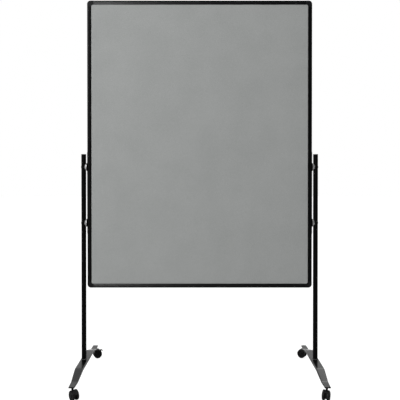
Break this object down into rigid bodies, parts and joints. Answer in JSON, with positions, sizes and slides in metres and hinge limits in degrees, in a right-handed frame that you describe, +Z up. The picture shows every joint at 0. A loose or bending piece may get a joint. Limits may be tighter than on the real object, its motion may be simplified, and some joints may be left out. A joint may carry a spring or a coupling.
{
  "type": "mobile pinboard",
  "caption": "Tall felt-faced pinboard in a slim black channel frame, held by domed saddles between round posts on low arched feet with hooded twin-wheel castors.",
  "frame": {"origin": "on the floor under the middle of the whole part's box", "axes": "+Z up, front of the board faces -Y, +X to the right seen from the front"},
  "size_m": [1.246, 0.5726, 1.965],
  "materials": {
    "board_felt": "fine short-fibred felt, grey",
    "board_core": "soft fibreboard",
    "frame_black": "black anodised, satin",
    "corner_black": "satin moulded black",
    "post_black": "smooth black powder coat",
    "foot_black": "smooth black powder coat, semi-gloss",
    "bar_black": "satin black",
    "pad_black": "matt black",
    "saddle_plated": "plated, softly polished",
    "cap_black": "satin moulded black",
    "plated_steel": "zinc plated",
    "castor_black": "satin moulded black",
    "wheel_black": "hard black tread"
  },
  "bodies": {
    "stand": {"panel_core": "board_core", "felt_front": "board_felt", "felt_rear": "board_felt", "rail_top": "frame_black", "rail_right": "frame_black", "rail_bottom": "frame_black", "rail_left": "frame_black", "corner_pieces": "corner_black", "hanger_bar_left": "bar_black", "hanger_bar_right": "bar_black", "saddle_pads": "pad_black", "saddles": "saddle_plated", "post_left": "post_black", "post_right": "post_black", "post_caps": "cap_black", "foot_left": "foot_black", "foot_right": "foot_black", "castor_stems": "plated_steel"},
    "castor_front_left": {"castor_hood_front_left": "castor_black", "castor_axle_front_left": "plated_steel"},
    "wheel_front_left_inner": {"castor_wheel_front_left_inner": "wheel_black"},
    "wheel_front_left_outer": {"castor_wheel_front_left_outer": "wheel_black"},
    "brake_front_left": {"brake_pedal_front_left": "castor_black"},
    "castor_rear_left": {"castor_hood_rear_left": "castor_black", "castor_axle_rear_left": "plated_steel"},
    "wheel_rear_left_inner": {"castor_wheel_rear_left_inner": "wheel_black"},
    "wheel_rear_left_outer": {"castor_wheel_rear_left_outer": "wheel_black"},
    "brake_rear_left": {"brake_pedal_rear_left": "castor_black"},
    "castor_front_right": {"castor_hood_front_right": "castor_black", "castor_axle_front_right": "plated_steel"},
    "wheel_front_right_inner": {"castor_wheel_front_right_inner": "wheel_black"},
    "wheel_front_right_outer": {"castor_wheel_front_right_outer": "wheel_black"},
    "castor_rear_right": {"castor_hood_rear_right": "castor_black", "castor_axle_rear_right": "plated_steel"},
    "wheel_rear_right_inner": {"castor_wheel_rear_right_inner": "wheel_black"},
    "wheel_rear_right_outer": {"castor_wheel_rear_right_outer": "wheel_black"}
  },
  "joints": [
    {"name": "castor_swivel_front_left", "type": "hinge", "parent": "stand", "child": "castor_front_left", "pos_m": [-0.603, -0.24441, 0.04], "axis": [0, 0, 1], "continuous": true},
    {"name": "wheel_spin_front_left_inner", "type": "hinge", "parent": "castor_front_left", "child": "wheel_front_left_inner", "pos_m": [-0.59296, -0.25556, 0.023], "axis": [0.7431, 0.6691, 0], "continuous": true},
    {"name": "wheel_spin_front_left_outer", "type": "hinge", "parent": "castor_front_left", "child": "wheel_front_left_outer", "pos_m": [-0.59296, -0.25556, 0.023], "axis": [0.7431, 0.6691, 0], "continuous": true},
    {"name": "brake_press_front_left", "type": "hinge", "parent": "castor_front_left", "child": "brake_front_left", "pos_m": [-0.58139, -0.26841, 0.033], "axis": [0.7431, 0.6691, 0], "range_deg": [0, 10]},
    {"name": "castor_swivel_rear_left", "type": "hinge", "parent": "stand", "child": "castor_rear_left", "pos_m": [-0.603, 0.24959, 0.04], "axis": [0, 0, 1], "continuous": true},
    {"name": "wheel_spin_rear_left_inner", "type": "hinge", "parent": "castor_rear_left", "child": "wheel_rear_left_inner", "pos_m": [-0.58976, 0.25663, 0.023], "axis": [-0.4695, 0.8829, 0], "continuous": true},
    {"name": "wheel_spin_rear_left_outer", "type": "hinge", "parent": "castor_rear_left", "child": "wheel_rear_left_outer", "pos_m": [-0.58976, 0.25663, 0.023], "axis": [-0.4695, 0.8829, 0], "continuous": true},
    {"name": "brake_press_rear_left", "type": "hinge", "parent": "castor_rear_left", "child": "brake_rear_left", "pos_m": [-0.57448, 0.26475, 0.033], "axis": [-0.4695, 0.8829, 0], "range_deg": [0, 10]},
    {"name": "castor_swivel_front_right", "type": "hinge", "parent": "stand", "child": "castor_front_right", "pos_m": [0.603, -0.24441, 0.04], "axis": [0, 0, 1], "continuous": true},
    {"name": "wheel_spin_front_right_inner", "type": "hinge", "parent": "castor_front_right", "child": "wheel_front_right_inner", "pos_m": [0.59619, -0.25778, 0.023], "axis": [0.891, -0.454, 0], "continuous": true},
    {"name": "wheel_spin_front_right_outer", "type": "hinge", "parent": "castor_front_right", "child": "wheel_front_right_outer", "pos_m": [0.59619, -0.25778, 0.023], "axis": [0.891, -0.454, 0], "continuous": true},
    {"name": "castor_swivel_rear_right", "type": "hinge", "parent": "stand", "child": "castor_rear_right", "pos_m": [0.603, 0.24959, 0.04], "axis": [0, 0, 1], "continuous": true},
    {"name": "wheel_spin_rear_right_inner", "type": "hinge", "parent": "castor_rear_right", "child": "wheel_rear_right_inner", "pos_m": [0.59134, 0.25903, 0.023], "axis": [-0.6293, -0.7771, 0], "continuous": true},
    {"name": "wheel_spin_rear_right_outer", "type": "hinge", "parent": "castor_rear_right", "child": "wheel_rear_right_outer", "pos_m": [0.59134, 0.25903, 0.023], "axis": [-0.6293, -0.7771, 0], "continuous": true}
  ]
}
